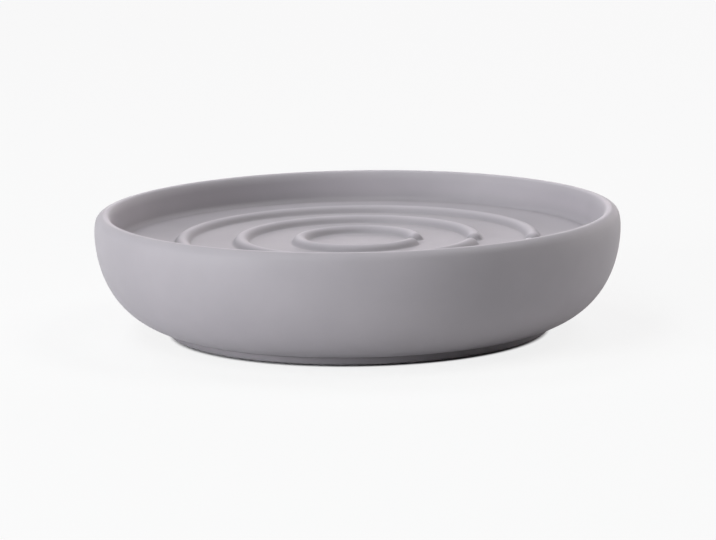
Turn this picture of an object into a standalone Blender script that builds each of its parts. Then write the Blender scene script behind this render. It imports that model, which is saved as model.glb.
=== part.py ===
"""Round stoneware soap dish: a hollow-cast shallow tray on a foot ring, with its stopper and pads.

Metres, +Z up. The origin is on the surface that the dish stands on, under its centre. The drain
channel through the ribs points along CHANNEL_AZIMUTH, measured from +X towards +Y.
"""
import math

import bpy
import bmesh
from mathutils import Vector
from mathutils.geometry import interpolate_bezier

# Overall size
DISH_RADIUS = 0.0600
DISH_HEIGHT = 0.0280

# Lip, a quarter round outside and a quarter of an upright ellipse inside, and its shoulder
LIP_OUTER_ROUND = 0.0021
LIP_LAND = 0.0003
LIP_INNER_REACH = 0.0015
LIP_INNER_DROP = 0.0031
SHOULDER_LEAN = math.radians(12.5)
SHOULDER_DROP = 0.0040

# Belly, which leaves the crease at a shallow slope and ends upright at the widest height
CREASE_STEP = 0.0012
BELLY_SLOPE = math.radians(15.8)
BELLY_LOW_FULLNESS = 0.890
BELLY_HIGH_FULLNESS = 0.226

# Foot ring and the shallow recess inside it
FOOT_RADIUS = 0.0436
FOOT_HEIGHT = 0.0018
FOOT_LAND_WIDTH = 0.0045
FOOT_EDGE_ROUND = 0.0005
BASE_RECESS = 0.0016

# Tray
TRAY_DEPTH = 0.0070
TRAY_FALL = 0.0006
TRAY_WALL_DRAFT = math.radians(9)
TRAY_FILLET = 0.0015

# Cast walls round the hollow
WALL = 0.0040
BASE_THICKNESS = 0.0040
HOLLOW_CORNER_ROUND = 0.0020

# Ribs on the tray floor, all broken by one drain channel
RIB_COUNT = 3
RIB_FIRST_RADIUS = 0.0132
RIB_PITCH = 0.0134
RIB_ROUND = 0.0018
RIB_HEIGHT = 0.0015
CHANNEL_WIDTH = 0.0032
CHANNEL_AZIMUTH = math.radians(-9)

# Casting hole and its stopper
FIT_CLEARANCE = 0.0003
HOLE_RADIUS = 0.0040
STOPPER_HEAD_OVERHANG = 0.0028
STOPPER_HEAD_THICKNESS = 0.0010
STOPPER_HEAD_ROUND = 0.0004
STOPPER_BEAD_OVERHANG = 0.0008
STOPPER_BEAD_HEIGHT = 0.0016
STOPPER_NOSE_TAPER = 0.0022
STOPPER_NOSE_LENGTH = 0.0016

# Non-slip pads under the base
PAD_COUNT = 4
PAD_RADIUS = 0.0050
PAD_INSET = 0.0035
PAD_STANDOFF = 0.0005
PAD_SEAT_DEPTH = 0.0005
PAD_EDGE_ROUND = 0.0005
PAD_TURN = math.radians(45)

# Fineness of the round forms
DISH_STEPS = 72
SMALL_STEPS = 32
BELLY_POINTS = 12
LIP_POINTS = 5
SHOULDER_POINTS = 3
FILLET_POINTS = 5
SMALL_ROUND_POINTS = 3
RIB_SIDE_POINTS = 7
RIB_END_STEPS = 8
RIB_STEP_LENGTH = 0.0036
MERGE_DISTANCE = 0.000002
SMOOTH_ANGLE = math.radians(40)

# Colours and finishes: base colour, roughness
STONEWARE = ((0.46, 0.42, 0.46, 1.0), 0.62)
SILICONE = ((0.30, 0.29, 0.30, 1.0), 0.55)


def clear_scene():
    """Remove every object that the opened file holds."""
    for scene_object in list(bpy.data.objects):
        bpy.data.objects.remove(scene_object, do_unlink=True)


def make_material(name, finish):
    """Return a plain material of one colour and roughness."""
    colour, roughness = finish
    material = bpy.data.materials.new(name)
    material.use_nodes = True
    shader = material.node_tree.nodes["Principled BSDF"]
    shader.inputs["Base Color"].default_value = colour
    shader.inputs["Roughness"].default_value = roughness
    shader.inputs["Metallic"].default_value = 0.0
    material.diffuse_color = colour
    return material


def add_object(name, shape, material=None):
    """Turn a finished bmesh into a smooth-shaded object in the scene."""
    bmesh.ops.remove_doubles(shape, verts=shape.verts, dist=MERGE_DISTANCE)
    bmesh.ops.recalc_face_normals(shape, faces=shape.faces)
    mesh = bpy.data.meshes.new(name)
    shape.to_mesh(mesh)
    shape.free()
    mesh.shade_smooth()
    mesh.set_sharp_from_angle(angle=SMOOTH_ANGLE)
    if material:
        mesh.materials.append(material)
    result = bpy.data.objects.new(name, mesh)
    bpy.context.collection.objects.link(result)
    return result


def arc(centre, radius, start, end, points):
    """Return points (radius, height) along an arc, from the angle start to the angle end."""
    angles = (start + (end - start) * i / (points - 1) for i in range(points))
    return [(centre[0] + radius * math.cos(a), centre[1] + radius * math.sin(a)) for a in angles]


def revolve(outline, steps):
    """Turn an outline of (radius, height) points, which runs down its outer side, about Z."""
    shape = bmesh.new()
    verts = [shape.verts.new((radius, 0.0, height)) for radius, height in outline]
    edges = [shape.edges.new(pair) for pair in zip(verts, verts[1:])]
    bmesh.ops.spin(
        shape, geom=verts + edges, cent=(0, 0, 0), axis=(0, 0, 1),
        angle=math.tau, steps=steps, use_merge=True)
    return shape


def tray_edge_height():
    """Height of the tray floor at its edge."""
    return DISH_HEIGHT - TRAY_DEPTH


def base_height():
    """Height of the recessed underside inside the foot ring."""
    return PAD_STANDOFF + BASE_RECESS


def hollow_floor_height():
    return base_height() + BASE_THICKNESS


def crease_height():
    """Height of the crease between the foot ring and the belly."""
    return PAD_STANDOFF + FOOT_HEIGHT


def tray_fillet_centre():
    """Centre of the round between the tray floor and its wall, which leans back to the lip."""
    wall_top_radius, wall_top_height = inner_lip()[0]
    height = tray_edge_height() + TRAY_FILLET
    wall_rise = wall_top_height - height + TRAY_FILLET * math.sin(TRAY_WALL_DRAFT)
    wall_foot_radius = wall_top_radius - wall_rise * math.tan(TRAY_WALL_DRAFT)
    return wall_foot_radius - TRAY_FILLET * math.cos(TRAY_WALL_DRAFT), height


def tray_floor_height(radius):
    """Height of the tray floor, which falls a little from its edge to the centre."""
    return tray_edge_height() - TRAY_FALL * (1 - radius / tray_fillet_centre()[0])


def tray_outline():
    """From the centre of the tray floor, out through its fillet and up the wall to the lip."""
    fillet = arc(tray_fillet_centre(), TRAY_FILLET, -math.pi / 2, -TRAY_WALL_DRAFT, FILLET_POINTS)
    return [(0.0, tray_floor_height(0.0))] + fillet


def widest_height():
    """Height at which the belly ends upright and the shoulder starts to lean in."""
    return DISH_HEIGHT - SHOULDER_DROP


def shoulder_arc():
    """Return the centre and radius of the arc from the widest height up to the lip's round."""
    top = DISH_HEIGHT - LIP_OUTER_ROUND * (1 - math.sin(SHOULDER_LEAN))
    radius = (top - widest_height()) / math.sin(SHOULDER_LEAN)
    return (DISH_RADIUS - radius, widest_height()), radius


def outer_round_centre():
    """Centre of the lip's outer round, on the shoulder's normal so that the two meet smoothly."""
    centre, radius = shoulder_arc()
    reach = radius - LIP_OUTER_ROUND
    return centre[0] + reach * math.cos(SHOULDER_LEAN), DISH_HEIGHT - LIP_OUTER_ROUND


def inner_lip():
    """Up the lip's inner side, on an ellipse that starts in line with the tray's wall."""
    centre_radius = outer_round_centre()[0] - LIP_LAND
    centre_height = DISH_HEIGHT - LIP_INNER_DROP
    start = math.atan(LIP_INNER_DROP / LIP_INNER_REACH * math.tan(TRAY_WALL_DRAFT))
    turns = (start + (math.pi / 2 - start) * i / (LIP_POINTS - 1) for i in range(LIP_POINTS))
    return [(centre_radius - LIP_INNER_REACH * math.cos(turn),
             centre_height + LIP_INNER_DROP * math.sin(turn)) for turn in turns]


def lip_outline():
    """Over the lip from the tray's wall, and down the shoulder to the widest height."""
    outer_round = arc(outer_round_centre(), LIP_OUTER_ROUND, math.pi / 2, SHOULDER_LEAN, LIP_POINTS)
    centre, radius = shoulder_arc()
    shoulder = arc(centre, radius, SHOULDER_LEAN, 0.0, SHOULDER_POINTS)
    return inner_lip() + outer_round + shoulder[1:]


def belly_outline():
    """Down the belly, from its widest height to the crease above the foot ring."""
    top = Vector((DISH_RADIUS, widest_height(), 0))
    foot = Vector((FOOT_RADIUS + CREASE_STEP, crease_height(), 0))
    width, height, _ = top - foot
    top_handle = top - Vector((0, BELLY_HIGH_FULLNESS * height, 0))
    foot_handle = foot + BELLY_LOW_FULLNESS * width * Vector((1, math.tan(BELLY_SLOPE), 0))
    curve = interpolate_bezier(top, top_handle, foot_handle, foot, BELLY_POINTS)
    return [(point.x, point.y) for point in curve]


def foot_outline():
    """From the crease, round the foot ring and across the recessed base to the casting hole."""
    land_height = PAD_STANDOFF
    edge_height = land_height + FOOT_EDGE_ROUND
    inner_radius = FOOT_RADIUS - FOOT_LAND_WIDTH
    outer_edge = arc((FOOT_RADIUS - FOOT_EDGE_ROUND, edge_height), FOOT_EDGE_ROUND,
                     0.0, -math.pi / 2, SMALL_ROUND_POINTS)
    inner_edge = arc((inner_radius + FOOT_EDGE_ROUND, edge_height), FOOT_EDGE_ROUND,
                     -math.pi / 2, -math.pi, SMALL_ROUND_POINTS)
    crease = [(FOOT_RADIUS, crease_height())]
    return crease + outer_edge + inner_edge + [(inner_radius, base_height()), (HOLE_RADIUS, base_height())]


def hollow_outline():
    """From the casting hole, round the hollow inside the casting and back to the axis."""
    ceiling = tray_edge_height() - WALL
    floor = hollow_floor_height()
    side = []
    belly = belly_outline()
    for before, point, after in zip(belly, belly[1:], belly[2:]):
        along = Vector((after[0] - before[0], after[1] - before[1])).normalized()
        inner = Vector(point) + WALL * Vector((along.y, -along.x))
        if floor < inner.y < ceiling - HOLLOW_CORNER_ROUND:
            side.append((inner.x, inner.y))
    side.reverse()
    corner_centre = (side[-1][0] - HOLLOW_CORNER_ROUND, ceiling - HOLLOW_CORNER_ROUND)
    corner = arc(corner_centre, HOLLOW_CORNER_ROUND, 0.0, math.pi / 2, SMALL_ROUND_POINTS)
    bottom = [(HOLE_RADIUS, floor), (FOOT_RADIUS - WALL, floor)]
    return bottom + side + corner + [(0.0, ceiling - TRAY_FALL)]


def make_dish(material):
    """The stoneware casting: tray, lip, belly, foot ring and the hollow inside."""
    outline = tray_outline() + lip_outline() + belly_outline()[1:] + foot_outline() + hollow_outline()
    dish = add_object("dish_body", revolve(outline, DISH_STEPS), material)
    for index in range(RIB_COUNT):
        join_shape(dish, make_rib(index), "UNION")
    for index in range(PAD_COUNT):
        join_shape(dish, make_pad_seat(index), "DIFFERENCE")
    return dish


def join_shape(target, tool, operation):
    """Add a guide shape to an object, or cut it away, and keep the guide out of sight."""
    modifier = target.modifiers.new(tool.name, "BOOLEAN")
    modifier.operation = operation
    modifier.solver = "EXACT"
    modifier.object = tool
    tool.hide_render = True
    tool.display_type = "WIRE"


def rib_loop(radius, offset, height):
    """One closed contour of a broken rib, at an offset from its centre line."""
    end_round = math.sqrt(RIB_ROUND ** 2 - (RIB_ROUND - RIB_HEIGHT) ** 2)
    half_gap = math.asin((CHANNEL_WIDTH / 2 + end_round) / radius)
    start = CHANNEL_AZIMUTH + half_gap
    sweep = math.tau - 2 * half_gap
    steps = max(RIB_END_STEPS, round(sweep * radius / RIB_STEP_LENGTH))
    angles = [start + sweep * i / steps for i in range(steps + 1)]
    turns = [math.pi * i / RIB_END_STEPS for i in range(1, RIB_END_STEPS)]
    loop = [polar(radius + offset, a, height) for a in angles]
    loop += [end_point(radius, angles[-1], offset, turn, height) for turn in turns]
    loop += [polar(radius - offset, a, height) for a in reversed(angles)]
    loop += [end_point(radius, angles[0], offset, math.pi + turn, height) for turn in turns]
    return loop


def polar(radius, azimuth, height):
    return Vector((radius * math.cos(azimuth), radius * math.sin(azimuth), height))


def end_point(radius, azimuth, offset, turn, height):
    """A point on a rib's round end, turned about the end of its centre line."""
    return polar(radius, azimuth, height) + polar(offset, azimuth + turn, 0.0)


def rib_section(radius):
    """Offsets and heights across half a rib: the upper half of a round bar, sunk into the floor."""
    middle = tray_floor_height(radius) + RIB_HEIGHT - RIB_ROUND
    return [(0.0, middle)] + arc((0.0, middle), RIB_ROUND, 0.0, math.pi / 2, RIB_SIDE_POINTS)


def make_rib(index):
    """A half-round rib along a broken circle, with round ends either side of the channel."""
    radius = RIB_FIRST_RADIUS + index * RIB_PITCH
    shape = bmesh.new()
    loops = []
    for offset, height in rib_section(radius):
        loops.append([shape.verts.new(point) for point in rib_loop(radius, offset, height)])
    for low, high in zip(loops, loops[1:]):
        for i in range(len(low)):
            shape.faces.new((low[i - 1], low[i], high[i], high[i - 1]))
    return add_object(f"rib_guide_{index + 1}", shape)


def pad_place(index):
    """Centre of a pad, set in from the foot ring and turned from the line of the channel."""
    circle_radius = FOOT_RADIUS - FOOT_LAND_WIDTH - PAD_INSET - PAD_RADIUS
    azimuth = CHANNEL_AZIMUTH + PAD_TURN + index * math.tau / PAD_COUNT
    return polar(circle_radius, azimuth, 0.0)


def make_pad_seat(index):
    """The shallow round seat that is cut into the base above a pad."""
    radius = PAD_RADIUS + FIT_CLEARANCE
    top = base_height() + PAD_SEAT_DEPTH
    low = base_height() - PAD_SEAT_DEPTH
    outline = [(0.0, top), (radius, top), (radius, low), (0.0, low)]
    seat = add_object(f"pad_seat_guide_{index + 1}", revolve(outline, SMALL_STEPS))
    seat.location = pad_place(index)
    return seat


def make_pad(index, material):
    """A soft round pad in its seat, which stands a little below the foot ring."""
    top = base_height() + PAD_SEAT_DEPTH - FIT_CLEARANCE
    edge = arc((PAD_RADIUS - PAD_EDGE_ROUND, PAD_EDGE_ROUND), PAD_EDGE_ROUND,
               0.0, -math.pi / 2, SMALL_ROUND_POINTS)
    outline = [(0.0, top), (PAD_RADIUS, top)] + edge + [(0.0, 0.0)]
    pad = add_object(f"non_slip_pad_{index + 1}", revolve(outline, SMALL_STEPS), material)
    pad.location = pad_place(index)
    return pad


def make_stopper(material):
    """The soft stopper in the casting hole: a flat head outside, a neck, and a bead inside."""
    head_top = base_height() - FIT_CLEARANCE
    head_low = head_top - STOPPER_HEAD_THICKNESS
    neck_radius = HOLE_RADIUS - FIT_CLEARANCE
    bead_radius = HOLE_RADIUS + STOPPER_BEAD_OVERHANG
    bead_low = hollow_floor_height() + FIT_CLEARANCE
    bead_top = bead_low + STOPPER_BEAD_HEIGHT
    nose_top = bead_top + STOPPER_NOSE_LENGTH
    nose_radius = bead_radius - STOPPER_NOSE_TAPER
    head_radius = HOLE_RADIUS + STOPPER_HEAD_OVERHANG
    head_edge = arc((head_radius - STOPPER_HEAD_ROUND, head_low + STOPPER_HEAD_ROUND),
                    STOPPER_HEAD_ROUND, 0.0, -math.pi / 2, SMALL_ROUND_POINTS)
    outline = [(0.0, nose_top), (nose_radius, nose_top), (bead_radius, bead_top), (bead_radius, bead_low),
               (neck_radius, bead_low), (neck_radius, head_top), (head_radius, head_top)]
    outline += head_edge + [(0.0, head_low)]
    return add_object("casting_hole_stopper", revolve(outline, SMALL_STEPS), material)


def main():
    clear_scene()
    stoneware = make_material("stoneware", STONEWARE)
    silicone = make_material("silicone", SILICONE)
    make_dish(stoneware)
    make_stopper(silicone)
    for index in range(PAD_COUNT):
        make_pad(index, silicone)


main()
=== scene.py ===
"""Looks of the round stoneware soap dish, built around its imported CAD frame.

Metres, +Z up. The origin is on the surface that the dish stands on, under its centre. The drain
channel through the ribs points along CHANNEL_AZIMUTH, measured from +X towards +Y.
"""
import math

import bmesh
import bpy
import numpy as np
from mathutils import Matrix, Vector
from mathutils.geometry import interpolate_bezier

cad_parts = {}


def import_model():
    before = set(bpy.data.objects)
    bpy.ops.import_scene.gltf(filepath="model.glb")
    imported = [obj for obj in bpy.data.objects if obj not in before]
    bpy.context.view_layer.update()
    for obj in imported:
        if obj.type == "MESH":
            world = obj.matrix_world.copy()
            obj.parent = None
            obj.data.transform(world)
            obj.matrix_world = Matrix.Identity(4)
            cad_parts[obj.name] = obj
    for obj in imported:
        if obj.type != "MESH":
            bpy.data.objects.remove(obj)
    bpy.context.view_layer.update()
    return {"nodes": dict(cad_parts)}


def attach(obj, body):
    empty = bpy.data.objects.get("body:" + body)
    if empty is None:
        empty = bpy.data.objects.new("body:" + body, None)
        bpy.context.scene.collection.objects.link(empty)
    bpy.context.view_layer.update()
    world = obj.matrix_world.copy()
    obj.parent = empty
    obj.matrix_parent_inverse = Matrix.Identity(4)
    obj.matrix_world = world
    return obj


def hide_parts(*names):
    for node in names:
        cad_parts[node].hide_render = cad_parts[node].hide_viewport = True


QUARTER = math.pi / 2

# Form of the dish, with the CAD part's own values
DISH_RADIUS = 0.0600
DISH_HEIGHT = 0.0280
LIP_OUTER_ROUND = 0.0021
LIP_LAND = 0.0003
LIP_INNER_REACH = 0.0015
LIP_INNER_DROP = 0.0031
SHOULDER_LEAN = math.radians(12.5)
SHOULDER_DROP = 0.0040
CREASE_STEP = 0.0012
BELLY_SLOPE = math.radians(15.8)
BELLY_LOW_FULLNESS = 0.890
BELLY_HIGH_FULLNESS = 0.226
FOOT_RADIUS = 0.0436
FOOT_HEIGHT = 0.0018
FOOT_LAND_WIDTH = 0.0045
FOOT_EDGE_ROUND = 0.0005
BASE_RECESS = 0.0016
TRAY_DEPTH = 0.0070
TRAY_FALL = 0.0006
TRAY_WALL_DRAFT = math.radians(9)
TRAY_FILLET = 0.0015
WALL = 0.0040
BASE_THICKNESS = 0.0040
HOLLOW_CORNER_ROUND = 0.0020
HOLE_RADIUS = 0.0040
PAD_RADIUS = 0.0050
PAD_CLEARANCE = 0.0003
PAD_INSET = 0.0035
PAD_STANDOFF = 0.0005
PAD_SEAT_DEPTH = 0.0005
PAD_COUNT = 4
PAD_TURN = math.radians(45)

# Ribs and their drain channel, with the CAD part's own values
RIB_COUNT = 3
RIB_FIRST_RADIUS = 0.0132
RIB_PITCH = 0.0134
RIB_RADII = tuple(RIB_FIRST_RADIUS + index * RIB_PITCH for index in range(RIB_COUNT))
RIB_ROUND = 0.0018
RIB_HEIGHT = 0.0015
CHANNEL_WIDTH = 0.0032
CHANNEL_AZIMUTH = math.radians(-9)

# Small fillets that only the finished surface has
RIB_ROOT_FILLET = 0.0006
CREASE_FILLET = 0.0004
HOLE_EDGE_ROUND = 0.0003

# Painted highlights on rib crests and the lip's inner edge: distances at which each is full and
# ends
CREST_HIGHLIGHT_REACH = (0.0003, 0.0014)
LIP_HIGHLIGHT_REACH = (0.0003, 0.0009)

# Painted shade at rib roots, the tray's inner corner and the crease, as distances at which it ends
ROOT_SHADE = 0.0008
CORNER_SHADE = 0.0035
CREASE_SHADE = 0.0012

# Paleness of full painted highlight, darkness of full painted shade, and the foot's share of that
# shade
HIGHLIGHT_PALENESS = 0.24
PAINTED_SHADE_DARKNESS = 0.16
FOOT_SHADE_SHARE = 2.0

# Fineness of the dish's grid, from the tray's middle outward and down to the hollow
FLOOR_ROW_PITCH = 0.0010
RIB_ROW_PITCH = 0.00020
RIB_ROW_REACH = 0.0030
TRAY_FILLET_ROWS = 13
TRAY_WALL_ROWS = 4
LIP_ROWS = 18
SHOULDER_ROWS = 7
BELLY_ROWS = 44
CREASE_ROWS = 5
FOOT_EDGE_ROWS = 6
FOOT_LAND_ROWS = 4
BASE_ROWS = 8
HOLE_EDGE_ROWS = 4
HOLLOW_BELLY_STEP = 4
HOLLOW_CORNER_ROWS = 4
FINE_STEPS = 170
COARSE_STEPS = 270
FINE_HALF_ANGLE = math.radians(22)
SEAT_SIDES = 96
SMOOTH_ANGLE = math.radians(40)

# Coat: noise scales are per metre, a bump is its strength and its depth
COAT_DARK = (0.435, 0.405, 0.440, 1.0)
COAT_PALE = (0.465, 0.432, 0.468, 1.0)
COAT_CLOUD_SCALE = 55.0
COAT_CLOUD_DETAIL = 3.0
COAT_CLOUD_RANGE = (0.35, 0.65)
COAT_GRAIN_SCALE = 2600.0
COAT_GRAIN_DETAIL = 4.0
COAT_GRAIN_COARSENESS = 0.6
COAT_ROUGHNESS = (0.50, 0.62)
COAT_BUMP = (0.25, 0.00008)
COAT_SHEEN = 0.10
COAT_SHEEN_ROUGHNESS = 0.5

# Silicone of the pads and the stopper
SILICONE_DARK = (0.270, 0.262, 0.270, 1.0)
SILICONE_PALE = (0.330, 0.320, 0.330, 1.0)
SILICONE_GRAIN_SCALE = 1800.0
SILICONE_GRAIN_DETAIL = 3.0
SILICONE_ROUGHNESS = 0.62
SILICONE_BUMP = (0.3, 0.00006)

# Camera, in the photograph's frame
IMAGE_WIDTH = 716
IMAGE_HEIGHT = 540
SENSOR_WIDTH = 36.0
FOCAL_PIXELS = 4371.6
CAMERA_TARGET = Vector((0.0, 0.0, 0.014))
CAMERA_DISTANCE = 1.0
CAMERA_ELEVATION = math.radians(10.12)
CAMERA_ROLL = math.radians(0.93)
CENTRE_X = 358.16
CENTRE_Y = 269.48

# Round softboxes: azimuth from +X towards +Y and elevation in degrees, power and colour
SOFTBOXES = {
    "key_left_low": (210, 10, 8.09, (0.959, 0.980, 1.000)),
    "front_left_high": (225, 58, 2.74, (0.943, 0.992, 1.000)),
    "front_left": (240, 36, 1.85, (0.948, 1.000, 0.962)),
    "right_high": (0, 58, 2.47, (0.996, 1.000, 0.926)),
    "back_left_high": (135, 58, 2.49, (0.946, 0.962, 1.000)),
    "back_right_high": (45, 58, 1.37, (0.923, 0.880, 1.000)),
    "back_low": (90, 10, 1.65, (1.000, 0.880, 0.948)),
    "right_low": (30, 10, 1.94, (1.000, 0.964, 0.939)),
    "back_side_low": (60, 10, 0.85, (1.000, 0.880, 0.900)),
}
SOFTBOX_DISTANCE = 1.2
SOFTBOX_DIAMETER = 0.5

# Pale paper floor. It shows white from just outside the foot on, and its reflection in the dish
# from outside the dish's shadow on
FLOOR_SIZE = 6.0
FLOOR_PAPER = (0.88, 0.88, 0.88, 1.0)
FLOOR_WHITE = (1.0, 1.0, 1.0, 1.0)
FLOOR_ROUGHNESS = 0.9
FLOOR_GLOW = 0.84
SHOWN_REACH = (0.0424, 0.0438)
REFLECTED_REACH = (0.055, 0.16)
BACKDROP_WHITE = (1.0, 1.0, 1.0, 1.0)


def arc(centre, radius, start, end, points):
    """Return points (radius, height) along an arc, from the angle start to the angle end."""
    angles = np.linspace(start, end, points)
    return [(centre[0] + radius * math.cos(a), centre[1] + radius * math.sin(a)) for a in angles]


def line(start, end, points):
    """Return points evenly spaced between two, without the two themselves."""
    shares = np.arange(1, points + 1) / (points + 1)
    return [(start[0] + (end[0] - start[0]) * s, start[1] + (end[1] - start[1]) * s)
            for s in shares]


def tray_edge_height():
    """Height of the tray floor at its edge."""
    return DISH_HEIGHT - TRAY_DEPTH


def base_height():
    """Height of the recessed underside inside the foot ring."""
    return PAD_STANDOFF + BASE_RECESS


def crease_height():
    """Height of the crease between the belly and the foot ring."""
    return PAD_STANDOFF + FOOT_HEIGHT


def widest_height():
    """Height at which the dish is widest."""
    return DISH_HEIGHT - SHOULDER_DROP


def shoulder_arc():
    """Return the centre and radius of the arc from the widest height up to the lip's round."""
    top = DISH_HEIGHT - LIP_OUTER_ROUND * (1 - math.sin(SHOULDER_LEAN))
    radius = (top - widest_height()) / math.sin(SHOULDER_LEAN)
    return (DISH_RADIUS - radius, widest_height()), radius


def outer_round_centre():
    """Centre of the lip's outer round, on the shoulder's normal so that the two meet smoothly."""
    centre, radius = shoulder_arc()
    reach = radius - LIP_OUTER_ROUND
    return centre[0] + reach * math.cos(SHOULDER_LEAN), DISH_HEIGHT - LIP_OUTER_ROUND


def inner_lip():
    """Up the lip's inner side, on an ellipse that starts in line with the tray's wall."""
    centre_radius = outer_round_centre()[0] - LIP_LAND
    centre_height = DISH_HEIGHT - LIP_INNER_DROP
    start = math.atan(LIP_INNER_DROP / LIP_INNER_REACH * math.tan(TRAY_WALL_DRAFT))
    return [(centre_radius - LIP_INNER_REACH * math.cos(turn),
             centre_height + LIP_INNER_DROP * math.sin(turn))
            for turn in np.linspace(start, QUARTER, LIP_ROWS)]


def tray_fillet_centre():
    """Centre of the round between the tray floor and its wall, which leans back to the lip."""
    wall_top_radius, wall_top_height = inner_lip()[0]
    height = tray_edge_height() + TRAY_FILLET
    wall_rise = wall_top_height - height + TRAY_FILLET * math.sin(TRAY_WALL_DRAFT)
    wall_foot_radius = wall_top_radius - wall_rise * math.tan(TRAY_WALL_DRAFT)
    return wall_foot_radius - TRAY_FILLET * math.cos(TRAY_WALL_DRAFT), height


def tray_floor_height(radius):
    """Height of the tray floor, which falls a little from its edge to the centre."""
    return tray_edge_height() - TRAY_FALL * (1 - radius / tray_fillet_centre()[0])


def floor_radii():
    """Radii of the tray floor's rows: close together on the ribs, wider apart between them."""
    edge = tray_fillet_centre()[0]
    radii = []
    radius = FLOOR_ROW_PITCH
    while radius < edge - FLOOR_ROW_PITCH / 2:
        radii.append(radius)
        on_rib = min(abs(radius - rib) for rib in RIB_RADII) < RIB_ROW_REACH
        radius += RIB_ROW_PITCH if on_rib else FLOOR_ROW_PITCH
    return radii


def belly_outline():
    """Down the belly, from its widest height to the crease above the foot ring."""
    top = Vector((DISH_RADIUS, widest_height(), 0))
    foot = Vector((FOOT_RADIUS + CREASE_STEP, crease_height(), 0))
    width, height, _ = top - foot
    top_handle = top - Vector((0, BELLY_HIGH_FULLNESS * height, 0))
    foot_handle = foot + BELLY_LOW_FULLNESS * width * Vector((1, math.tan(BELLY_SLOPE), 0))
    curve = interpolate_bezier(top, top_handle, foot_handle, foot, BELLY_ROWS)
    return [(point.x, point.y) for point in curve]


def upper_outline():
    """From the centre of the tray, over the lip and down to the widest height."""
    rows = [(radius, tray_floor_height(radius)) for radius in floor_radii()]
    rows += arc(tray_fillet_centre(), TRAY_FILLET, -QUARTER, -TRAY_WALL_DRAFT, TRAY_FILLET_ROWS)
    rows += line(rows[-1], inner_lip()[0], TRAY_WALL_ROWS) + inner_lip()
    rows += arc(outer_round_centre(), LIP_OUTER_ROUND, QUARTER, SHOULDER_LEAN, LIP_ROWS)
    centre, radius = shoulder_arc()
    return rows + arc(centre, radius, SHOULDER_LEAN, 0.0, SHOULDER_ROWS)[1:]


def foot_outline():
    """From the crease, round the foot ring and across the recessed base to the casting hole."""
    inner = FOOT_RADIUS - FOOT_LAND_WIDTH
    edge = PAD_STANDOFF + FOOT_EDGE_ROUND
    base = base_height()
    crease = arc((FOOT_RADIUS + CREASE_FILLET, crease_height() - CREASE_FILLET), CREASE_FILLET,
                 QUARTER, 2 * QUARTER, CREASE_ROWS)
    outer_edge = arc((FOOT_RADIUS - FOOT_EDGE_ROUND, edge), FOOT_EDGE_ROUND,
                     0.0, -QUARTER, FOOT_EDGE_ROWS)
    inner_edge = arc((inner + FOOT_EDGE_ROUND, edge), FOOT_EDGE_ROUND,
                     -QUARTER, -2 * QUARTER, FOOT_EDGE_ROWS)
    recess = arc((inner - CREASE_FILLET, base - CREASE_FILLET), CREASE_FILLET,
                 0.0, QUARTER, CREASE_ROWS)
    hole_edge = arc((HOLE_RADIUS + HOLE_EDGE_ROUND, base + HOLE_EDGE_ROUND), HOLE_EDGE_ROUND,
                    -QUARTER, -2 * QUARTER, HOLE_EDGE_ROWS)
    rows = crease + outer_edge + line(outer_edge[-1], inner_edge[0], FOOT_LAND_ROWS)
    rows += inner_edge + recess
    return rows + line(recess[-1], hole_edge[0], BASE_ROWS) + hole_edge


def hollow_outline():
    """From the casting hole, round the hollow inside the casting and back to the axis."""
    ceiling = tray_edge_height() - WALL
    floor = base_height() + BASE_THICKNESS
    side = []
    belly = belly_outline()[::HOLLOW_BELLY_STEP]
    for before, point, after in zip(belly, belly[1:], belly[2:]):
        along = Vector((after[0] - before[0], after[1] - before[1])).normalized()
        inner = Vector(point) + WALL * Vector((along.y, -along.x))
        if floor < inner.y < ceiling - HOLLOW_CORNER_ROUND:
            side.append((inner.x, inner.y))
    side.reverse()
    corner_centre = (side[-1][0] - HOLLOW_CORNER_ROUND, ceiling - HOLLOW_CORNER_ROUND)
    corner = arc(corner_centre, HOLLOW_CORNER_ROUND, 0.0, QUARTER, HOLLOW_CORNER_ROWS)
    return [(HOLE_RADIUS, floor), (FOOT_RADIUS - WALL, floor)] + side + corner


def grid_azimuths():
    """Azimuths of the grid's columns, closer together across the ends of the ribs."""
    fine = np.linspace(-FINE_HALF_ANGLE, FINE_HALF_ANGLE, FINE_STEPS, endpoint=False)
    coarse = np.linspace(FINE_HALF_ANGLE, math.tau - FINE_HALF_ANGLE, COARSE_STEPS,
                         endpoint=False)
    return np.concatenate([fine, coarse]) + CHANNEL_AZIMUTH


def rib_sunk():
    """Depth of the centre of a rib's round below the tray floor."""
    return RIB_ROUND - RIB_HEIGHT


def rib_reach():
    """Distance in plan from a rib's middle line to the end of its soft root."""
    return math.sqrt((RIB_ROUND + RIB_ROOT_FILLET) ** 2 - (RIB_ROOT_FILLET + rib_sunk()) ** 2)


def rib_distance(x, y):
    """Distance in plan from the middle line of the nearest rib, which ends at the channel."""
    end_round = math.sqrt(RIB_ROUND ** 2 - rib_sunk() ** 2)
    turn = complex(math.cos(CHANNEL_AZIMUTH), -math.sin(CHANNEL_AZIMUTH))
    place = (x + 1j * y) * turn
    distance = np.full(x.shape, np.inf)
    for radius in RIB_RADII:
        half_gap = math.asin((CHANNEL_WIDTH / 2 + end_round) / radius)
        end = radius * complex(math.cos(half_gap), math.sin(half_gap))
        off_bar = np.abs(np.abs(place) - radius)
        off_end = np.minimum(np.abs(place - end), np.abs(place - end.conjugate()))
        near = np.where(np.abs(np.angle(place)) >= half_gap, off_bar, off_end)
        distance = np.minimum(distance, near)
    return distance


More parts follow.
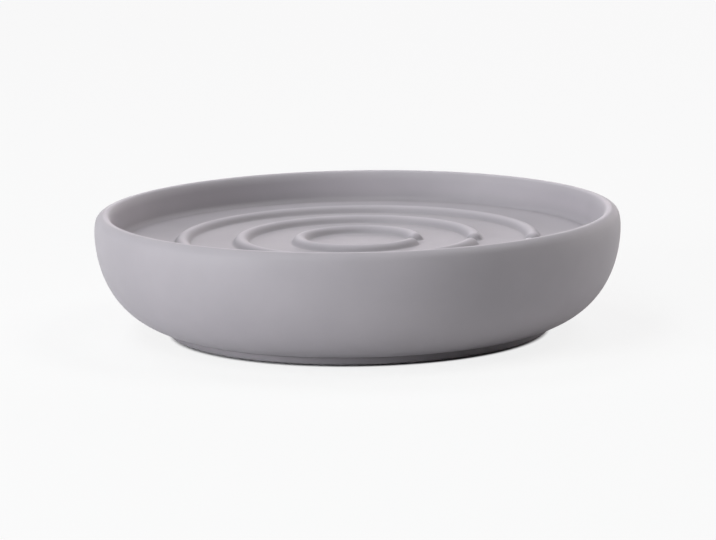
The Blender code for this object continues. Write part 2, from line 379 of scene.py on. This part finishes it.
def rib_relief(x, y):
    """Height of the ribs above the tray floor: half-round bars, round ends and a soft root."""
    distance = rib_distance(x, y)
    off_root = distance - rib_reach()
    tangent = rib_reach() * RIB_ROUND / (RIB_ROUND + RIB_ROOT_FILLET)
    bar = np.sqrt(np.maximum(RIB_ROUND ** 2 - distance ** 2, 0)) - rib_sunk()
    root = RIB_ROOT_FILLET - np.sqrt(np.maximum(RIB_ROOT_FILLET ** 2 - off_root ** 2, 0))
    return np.where(distance < tangent, bar, np.where(off_root < 0, root, 0.0))


def fade(distance, full, end):
    """Share that is 1 up to the distance full and falls smoothly to 0 at the distance end."""
    share = np.clip((end - distance) / (end - full), 0.0, 1.0)
    return share * share * (3 - 2 * share)


def paint_light_and_shade(mesh):
    """Write each point's painted light: up to 1 for painted highlight, below 0 for painted shade.
    """
    points = np.empty(len(mesh.vertices) * 3)
    mesh.vertices.foreach_get("co", points)
    x, y, z = points.reshape(-1, 3).T
    radius = np.hypot(x, y)
    rib = rib_distance(x, y)
    corner_radius, corner_height = tray_fillet_centre()
    in_tray = (z > tray_edge_height() - TRAY_FALL - ROOT_SHADE) & (radius < corner_radius)
    # Painted highlight along the rib crests
    painted_light = np.where(in_tray, fade(rib, *CREST_HIGHLIGHT_REACH), 0.0)
    # Painted shade at the rib roots
    root = np.abs(rib - rib_reach() + ROOT_SHADE / 2)
    painted_light -= np.where(in_tray, fade(root, 0.0, ROOT_SHADE), 0.0)
    # Painted highlight along the lip's inner edge
    inner_edge = outer_round_centre()[0] - LIP_LAND
    painted_light += fade(np.hypot(radius - inner_edge, z - DISH_HEIGHT), *LIP_HIGHLIGHT_REACH)
    # Painted shade in the corner between the tray floor and its wall
    corner = np.hypot(radius - corner_radius - TRAY_FILLET, z - corner_height + TRAY_FILLET)
    painted_light -= fade(corner, 0.0, CORNER_SHADE)
    # Painted shade in the crease above the foot ring
    painted_light -= fade(np.hypot(radius - FOOT_RADIUS, z - crease_height()), 0.0, CREASE_SHADE)
    # Painted shade over the whole foot ring
    below_crease = z < crease_height() - CREASE_FILLET / 2
    on_foot = below_crease & (radius > FOOT_RADIUS - FOOT_LAND_WIDTH / 2)
    painted_light = np.where(on_foot, -FOOT_SHADE_SHARE, painted_light)
    layer = mesh.attributes.new("painted_light", "FLOAT", "POINT")
    layer.data.foreach_set("value", painted_light.astype(np.float32))


def grid_mesh(name, rows, azimuths, first_pole, last_pole):
    """A closed mesh of rows round the axis, with the ribs raised on those of the tray floor.

    A point on the axis shuts it at each end, at the height first_pole or last_pole.
    """
    count = len(azimuths)
    radius = np.array([row[0] for row in rows])[:, None]
    height = np.array([row[1] for row in rows])[:, None]
    x = radius * np.cos(azimuths)
    y = radius * np.sin(azimuths)
    z = np.repeat(height, count, axis=1)
    floor_rows = len(floor_radii())
    z[:floor_rows] += rib_relief(x[:floor_rows], y[:floor_rows])
    verts = np.stack([x, y, z], axis=2).reshape(-1, 3).tolist()
    verts += [(0.0, 0.0, first_pole), (0.0, 0.0, last_pole)]
    first, last = len(verts) - 2, len(verts) - 1
    faces = []
    for row in range(len(rows) - 1):
        low, high = row * count, (row + 1) * count
        faces += [(low + i, high + i, high + (i + 1) % count, low + (i + 1) % count)
                  for i in range(count)]
    end = (len(rows) - 1) * count
    faces += [(first, i, (i + 1) % count) for i in range(count)]
    faces += [(last, end + (i + 1) % count, end + i) for i in range(count)]
    mesh = bpy.data.meshes.new(name)
    mesh.from_pydata(verts, [], faces)
    return mesh


def add_object(name, data):
    """A new object in the scene's collection."""
    added = bpy.data.objects.new(name, data)
    bpy.context.collection.objects.link(added)
    return added


def make_cutter(place):
    """A guide cylinder for one pad seat."""
    shape = bmesh.new()
    top = base_height() + PAD_SEAT_DEPTH
    low = base_height() - PAD_SEAT_DEPTH
    bmesh.ops.create_cone(shape, cap_ends=True, segments=SEAT_SIDES, depth=top - low,
                          radius1=PAD_RADIUS + PAD_CLEARANCE, radius2=PAD_RADIUS + PAD_CLEARANCE,
                          matrix=Matrix.Translation((place.x, place.y, (top + low) / 2)))
    mesh = bpy.data.meshes.new("pad_seat_guide")
    shape.to_mesh(mesh)
    shape.free()
    return add_object("pad_seat_guide", mesh)


def pad_places():
    """Places of the pads, evenly spaced on a circle inside the foot ring."""
    circle = FOOT_RADIUS - FOOT_LAND_WIDTH - PAD_INSET - PAD_RADIUS
    start = CHANNEL_AZIMUTH + PAD_TURN
    angles = [start + index * math.tau / PAD_COUNT for index in range(PAD_COUNT)]
    return [Vector((circle * math.cos(a), circle * math.sin(a), 0.0)) for a in angles]


def bake_modifiers(piece):
    """Replace a piece's mesh by what its modifiers make of it."""
    graph = bpy.context.evaluated_depsgraph_get()
    baked = bpy.data.meshes.new_from_object(piece.evaluated_get(graph))
    piece.modifiers.clear()
    piece.data = baked


def paint(mesh, material):
    """Give a mesh one material in place of any that it has."""
    mesh.materials.clear()
    mesh.materials.append(material)


def make_dish(material):
    """The finished casting, with soft rib roots and small fillets, in place of the CAD body."""
    belly = belly_outline()[1:-1]
    rows = upper_outline() + belly + foot_outline() + hollow_outline()
    ceiling = tray_edge_height() - WALL - TRAY_FALL
    mesh = grid_mesh("dish", rows, grid_azimuths(), tray_floor_height(0.0), ceiling)
    dish = add_object("dish", mesh)
    cutters = [make_cutter(place) for place in pad_places()]
    for cutter in cutters:
        cut = dish.modifiers.new(cutter.name, "BOOLEAN")
        cut.operation = "DIFFERENCE"
        cut.solver = "EXACT"
        cut.object = cutter
    bake_modifiers(dish)
    for cutter in cutters:
        bpy.data.objects.remove(cutter, do_unlink=True)
    paint_light_and_shade(dish.data)
    dish.data.shade_smooth()
    dish.data.set_sharp_from_angle(angle=SMOOTH_ANGLE)
    paint(dish.data, material)
    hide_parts("dish_body")
    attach(dish, "root")


def new_material(name):
    """Return a material, its node tree and its shader."""
    material = bpy.data.materials.new(name)
    material.use_nodes = True
    tree = material.node_tree
    return material, tree, tree.nodes["Principled BSDF"]


def add_noise(tree, scale, detail, roughness=0.5):
    """Noise in object space, so that its grain has a real size."""
    place = tree.nodes.new("ShaderNodeTexCoord")
    noise = tree.nodes.new("ShaderNodeTexNoise")
    noise.inputs["Scale"].default_value = scale
    noise.inputs["Detail"].default_value = detail
    noise.inputs["Roughness"].default_value = roughness
    tree.links.new(place.outputs["Object"], noise.inputs["Vector"])
    return noise.outputs["Fac"]


def add_math(tree, operation, first, second):
    """The result of an operation on two numbers, each a socket or a plain number."""
    node = tree.nodes.new("ShaderNodeMath")
    node.operation = operation
    for socket, value in zip(node.inputs, (first, second)):
        if isinstance(value, bpy.types.NodeSocket):
            tree.links.new(value, socket)
        else:
            socket.default_value = value
    return node.outputs["Value"]


def add_range(tree, value, source, target):
    """The value, carried from the source range into the target range and held inside it."""
    node = tree.nodes.new("ShaderNodeMapRange")
    node.inputs["From Min"].default_value, node.inputs["From Max"].default_value = source
    node.inputs["To Min"].default_value, node.inputs["To Max"].default_value = target
    tree.links.new(value, node.inputs["Value"])
    return node.outputs["Result"]


def add_tint(tree, value, source, dark, pale):
    """A colour that runs from dark to pale as the value runs through the source range."""
    node = tree.nodes.new("ShaderNodeValToRGB")
    for stop, position, colour in zip(node.color_ramp.elements, source, (dark, pale)):
        stop.position = position
        stop.color = colour
    tree.links.new(value, node.inputs["Fac"])
    return node.outputs["Color"]


def add_bump(tree, shader, height, strength, depth):
    """Raise the shader's surface by a height from 0 to 1 times the depth."""
    node = tree.nodes.new("ShaderNodeBump")
    node.inputs["Strength"].default_value = strength
    node.inputs["Distance"].default_value = depth
    tree.links.new(height, node.inputs["Height"])
    tree.links.new(node.outputs["Normal"], shader.inputs["Normal"])


def make_stoneware():
    """Matte soft-touch coat on stoneware: fine grain, faint clouding, painted highlights and
    shade.
    """
    material, tree, shader = new_material("stoneware_coat")
    cloud = add_noise(tree, COAT_CLOUD_SCALE, COAT_CLOUD_DETAIL)
    tint = add_tint(tree, cloud, COAT_CLOUD_RANGE, COAT_DARK, COAT_PALE)
    painted_light = tree.nodes.new("ShaderNodeAttribute")
    painted_light.attribute_name = "painted_light"
    # pale carries the painted highlights and dark the painted shade into the coat's colour
    pale = add_math(tree, "MAXIMUM", painted_light.outputs["Fac"], 0.0)
    dark = add_math(tree, "MINIMUM", painted_light.outputs["Fac"], 0.0)
    light_and_shade_change = add_math(tree, "ADD", add_math(tree, "MULTIPLY", pale, HIGHLIGHT_PALENESS),
                      add_math(tree, "MULTIPLY", dark, PAINTED_SHADE_DARKNESS))
    coat = tree.nodes.new("ShaderNodeVectorMath")
    coat.operation = "SCALE"
    tree.links.new(tint, coat.inputs[0])
    tree.links.new(add_math(tree, "ADD", light_and_shade_change, 1.0), coat.inputs["Scale"])
    tree.links.new(coat.outputs["Vector"], shader.inputs["Base Color"])
    grain = add_noise(tree, COAT_GRAIN_SCALE, COAT_GRAIN_DETAIL, COAT_GRAIN_COARSENESS)
    roughness = add_range(tree, grain, (0.0, 1.0), COAT_ROUGHNESS)
    tree.links.new(roughness, shader.inputs["Roughness"])
    add_bump(tree, shader, grain, *COAT_BUMP)
    shader.inputs["Sheen Weight"].default_value = COAT_SHEEN
    shader.inputs["Sheen Roughness"].default_value = COAT_SHEEN_ROUGHNESS
    return material


def make_silicone():
    """Matte grey silicone with a fine moulded grain."""
    material, tree, shader = new_material("silicone")
    grain = add_noise(tree, SILICONE_GRAIN_SCALE, SILICONE_GRAIN_DETAIL)
    tint = add_tint(tree, grain, (0.0, 1.0), SILICONE_DARK, SILICONE_PALE)
    tree.links.new(tint, shader.inputs["Base Color"])
    shader.inputs["Roughness"].default_value = SILICONE_ROUGHNESS
    add_bump(tree, shader, grain, *SILICONE_BUMP)
    return material


def background_rays(tree):
    """Whether a ray is the camera's own, and whether it was reflected or let through."""
    ray = tree.nodes.new("ShaderNodeLightPath")
    reflected = add_math(tree, "MAXIMUM", ray.outputs["Is Glossy Ray"],
                         ray.outputs["Is Transmission Ray"])
    return ray.outputs["Is Camera Ray"], reflected


def make_floor():
    """A plain pale floor, near white where the background shows, that keeps the dish's shadow."""
    half = FLOOR_SIZE / 2
    corners = [(-half, -half, 0), (half, -half, 0), (half, half, 0), (-half, half, 0)]
    mesh = bpy.data.meshes.new("floor")
    mesh.from_pydata(corners, [], [(0, 1, 2, 3)])
    floor = add_object("floor", mesh)
    material, tree, shader = new_material("floor_paper")
    camera, reflected = background_rays(tree)
    colour = tree.nodes.new("ShaderNodeMix")
    colour.data_type = "RGBA"
    colour.inputs["A"].default_value = FLOOR_PAPER
    colour.inputs["B"].default_value = FLOOR_WHITE
    tree.links.new(add_math(tree, "MAXIMUM", camera, reflected), colour.inputs["Factor"])
    tree.links.new(colour.outputs["Result"], shader.inputs["Base Color"])
    shader.inputs["Roughness"].default_value = FLOOR_ROUGHNESS
    shader.inputs["Specular IOR Level"].default_value = 0.0
    glow = tree.nodes.new("ShaderNodeEmission")
    place = tree.nodes.new("ShaderNodeTexCoord")
    reach = tree.nodes.new("ShaderNodeVectorMath")
    reach.operation = "LENGTH"
    tree.links.new(place.outputs["Object"], reach.inputs[0])
    shares = []
    for rays, clear_from in ((camera, SHOWN_REACH), (reflected, REFLECTED_REACH)):
        clear = add_range(tree, reach.outputs["Value"], clear_from, (0.0, FLOOR_GLOW))
        shares.append(add_math(tree, "MULTIPLY", rays, clear))
    mix = tree.nodes.new("ShaderNodeMixShader")
    tree.links.new(add_math(tree, "MAXIMUM", *shares), mix.inputs["Fac"])
    tree.links.new(shader.outputs["BSDF"], mix.inputs[1])
    tree.links.new(glow.outputs["Emission"], mix.inputs[2])
    tree.links.new(mix.outputs["Shader"], tree.nodes["Material Output"].inputs["Surface"])
    paint(mesh, material)


def make_world():
    """A white backdrop for the camera and for reflections, which lights nothing by itself."""
    world = bpy.data.worlds.new("studio")
    bpy.context.scene.world = world
    world.use_nodes = True
    tree = world.node_tree
    back = tree.nodes["Background"]
    back.inputs["Color"].default_value = BACKDROP_WHITE
    shown = add_math(tree, "MAXIMUM", *background_rays(tree))
    tree.links.new(shown, back.inputs["Strength"])


def make_lights():
    """Round softboxes at one distance, each turned to the dish."""
    for name, (azimuth, elevation, power, colour) in SOFTBOXES.items():
        light = bpy.data.lights.new(name, "AREA")
        light.shape = "DISK"
        light.size = SOFTBOX_DIAMETER
        light.energy = power
        light.color = colour
        lamp = add_object(name, light)
        turn, rise = math.radians(azimuth), math.radians(elevation)
        away = Vector((math.cos(turn) * math.cos(rise), math.sin(turn) * math.cos(rise),
                       math.sin(rise)))
        lamp.location = CAMERA_TARGET + SOFTBOX_DISTANCE * away
        lamp.rotation_euler = (-away).to_track_quat("-Z", "Y").to_euler()


def make_camera():
    """The photograph's view: a long lens, a little above the rim, turned by its slight roll."""
    data = bpy.data.cameras.new("camera")
    camera = add_object("camera", data)
    away = Vector((0.0, -math.cos(CAMERA_ELEVATION), math.sin(CAMERA_ELEVATION)))
    camera.location = CAMERA_TARGET + CAMERA_DISTANCE * away
    look = (CAMERA_TARGET - camera.location).to_track_quat("-Z", "Y").to_matrix()
    camera.rotation_euler = (look @ Matrix.Rotation(-CAMERA_ROLL, 3, "Z")).to_euler()
    data.sensor_width = SENSOR_WIDTH
    data.lens = FOCAL_PIXELS * SENSOR_WIDTH / IMAGE_WIDTH
    data.shift_x = (IMAGE_WIDTH / 2 - CENTRE_X) / IMAGE_WIDTH
    data.shift_y = (CENTRE_Y - IMAGE_HEIGHT / 2) / IMAGE_WIDTH
    bpy.context.scene.camera = camera


def main():
    """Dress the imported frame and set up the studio."""
    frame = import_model()
    bpy.context.scene.view_settings.view_transform = "Standard"
    make_camera()
    make_lights()
    make_world()
    make_floor()
    make_dish(make_stoneware())
    silicone = make_silicone()
    pads = [f"non_slip_pad_{index + 1}" for index in range(PAD_COUNT)]
    for name in ["casting_hole_stopper"] + pads:
        paint(frame["nodes"][name].data, silicone)


main()
